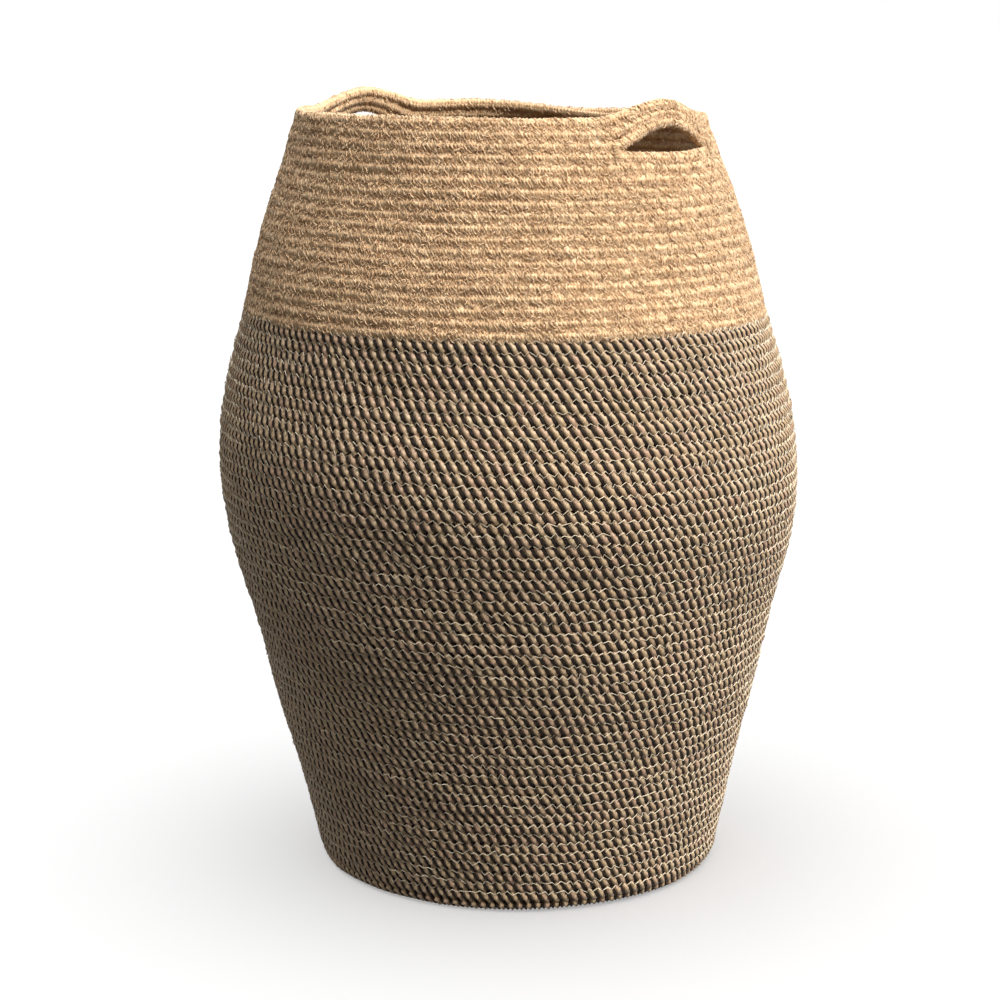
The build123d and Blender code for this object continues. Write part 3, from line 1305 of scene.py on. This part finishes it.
@dataclass
class Studio:
    """A plain pale floor, soft light and the camera."""
    floor_size: float = 400.0
    camera_place: tuple = (1.286, -1.532, 0.717)
    camera_turn: tuple = (math.radians(78.55), 0.0, math.radians(40))
    lens: float = 84.4
    shift: float = -0.010
    room_light: tuple = (-0.55, 0.35, -0.76)    # against the way that the room's light comes
    room_dark: float = 0.05
    room_bright: float = 0.21
    room_turns: tuple = (-0.6, 0.9)             # where the room is darkest and brightest
    floor_glow: float = 0.38                    # keeps the shadows on the floor light
    top_light: SoftLight = SoftLight("top_light", (0, 0, 1), 84, 1.95)
    key_light: SoftLight = SoftLight("key_light", (0.985, 0.174, 1.15), 52, 5.5)

    def build(self) -> None:
        """Add the floor, the lights, the world and the camera."""
        floor = self.add_floor()
        self.top_light.add()
        self.leave_out(self.key_light.add(), floor)
        self.add_world()
        self.add_camera()

    def add_floor(self) -> bpy.types.Object:
        """Lay the floor, just under the basket.

        Returns:
            The floor.
        """
        start_clean()
        bpy.ops.mesh.primitive_plane_add(size=self.floor_size, location=(0, 0, -0.4 * MM))
        floor = bpy.context.object
        floor.name = "studio_floor"
        bpy.ops.object.transform_apply(location=True, rotation=True, scale=True)
        sheet = Sheet("studio_floor")
        sheet.set(Base_Color=(0.90, 0.90, 0.90, 1), Roughness=1.0, Specular_IOR_Level=0.0,
                  Emission_Color=(1, 1, 1, 1), Emission_Strength=self.floor_glow)
        floor.data.materials.append(sheet.material)
        floor.visible_diffuse = False
        return floor

    @staticmethod
    def leave_out(lamp: bpy.types.Object, unlit: bpy.types.Object) -> None:
        """Keep a light off one object, so that it throws no long shadow there."""
        group = bpy.data.collections.new("not_lit_by_" + lamp.name)
        group.objects.link(unlit)
        lamp.light_linking.receiver_collection = group
        group.collection_objects[0].light_linking.link_state = "EXCLUDE"

    def add_world(self) -> None:
        """Light the room softly, more from the right than from the left and hardly from below.

        The backdrop itself is plain white.
        """
        world = bpy.data.worlds.new("studio")
        nodes = Nodes(world)
        nodes.tree.nodes.clear()
        toward = nodes.add("ShaderNodeNewGeometry").outputs["Incoming"]
        facing = nodes.add("ShaderNodeVectorMath", {0: toward, 1: self.room_light},
                           operation="DOT_PRODUCT").outputs["Value"]
        level = nodes.rescale(facing, *self.room_turns, self.room_dark, self.room_bright)
        white = (1, 1, 1, 1)
        room = nodes.add("ShaderNodeBackground", {0: white, 1: level}).outputs[0]
        backdrop = nodes.add("ShaderNodeBackground", {0: white, 1: 1.0}).outputs[0]
        seen = nodes.add("ShaderNodeLightPath").outputs["Is Camera Ray"]
        both = nodes.add("ShaderNodeMixShader", {0: seen, 1: room, 2: backdrop}).outputs[0]
        nodes.add("ShaderNodeOutputWorld", {0: both})
        bpy.context.scene.world = world

    def add_camera(self) -> None:
        """Set the camera at a standing person's eye height, a little above the rim."""
        camera = bpy.data.objects.new("camera", bpy.data.cameras.new("camera"))
        camera.location, camera.rotation_euler = self.camera_place, self.camera_turn
        camera.data.lens, camera.data.shift_x = self.lens, self.shift
        bpy.context.scene.collection.objects.link(camera)
        bpy.context.scene.camera = camera
        bpy.context.scene.view_settings.view_transform = "Standard"


def main() -> None:
    """Build the basket and the studio, and log the coil's turns, its length of rope and each
    piece's triangles.
    """
    logging.basicConfig(level=logging.INFO, format="%(message)s")
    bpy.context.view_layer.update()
    Studio().build()
    line = WallLine()
    log.info("coil: %.1f turns, %.1f m of rope", line.last_turn, line.total)
    TwoToneRope(line).build()
    JuteRope(line).build()
    RopeCore(line).build()
    SeamStitch(line).build()
    SlotTacks(line).build()


if __name__ == "__main__":
    main()
